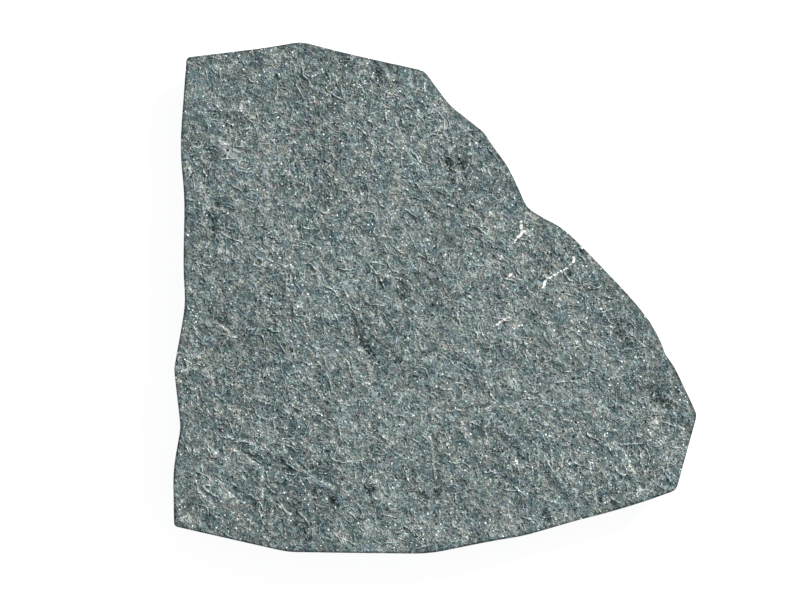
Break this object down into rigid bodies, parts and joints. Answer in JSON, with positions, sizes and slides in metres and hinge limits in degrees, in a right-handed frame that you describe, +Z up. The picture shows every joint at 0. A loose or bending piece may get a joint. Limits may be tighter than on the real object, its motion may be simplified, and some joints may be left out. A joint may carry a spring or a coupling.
{
  "type": "stone sample",
  "caption": "Flat irregular piece of grey-green split schist with a rough cleft face, layered broken edges and a flat underside, lying on a surface as a material sample.",
  "frame": {"origin": "middle of the stone's outline box, on the flat underside that it rests on", "axes": "+Z up out of the split face, through the thickness; +X along the longest side of the outline box, to the right as the split face is looked down on with +Y at the top"},
  "size_m": [0.3134, 0.3064, 0.0262],
  "materials": {
    "stone": "rough natural split face, matt, with fine glinting mica and thin white quartz veins"
  },
  "bodies": {
    "root": {"stone": "stone"}
  },
  "joints": []
}
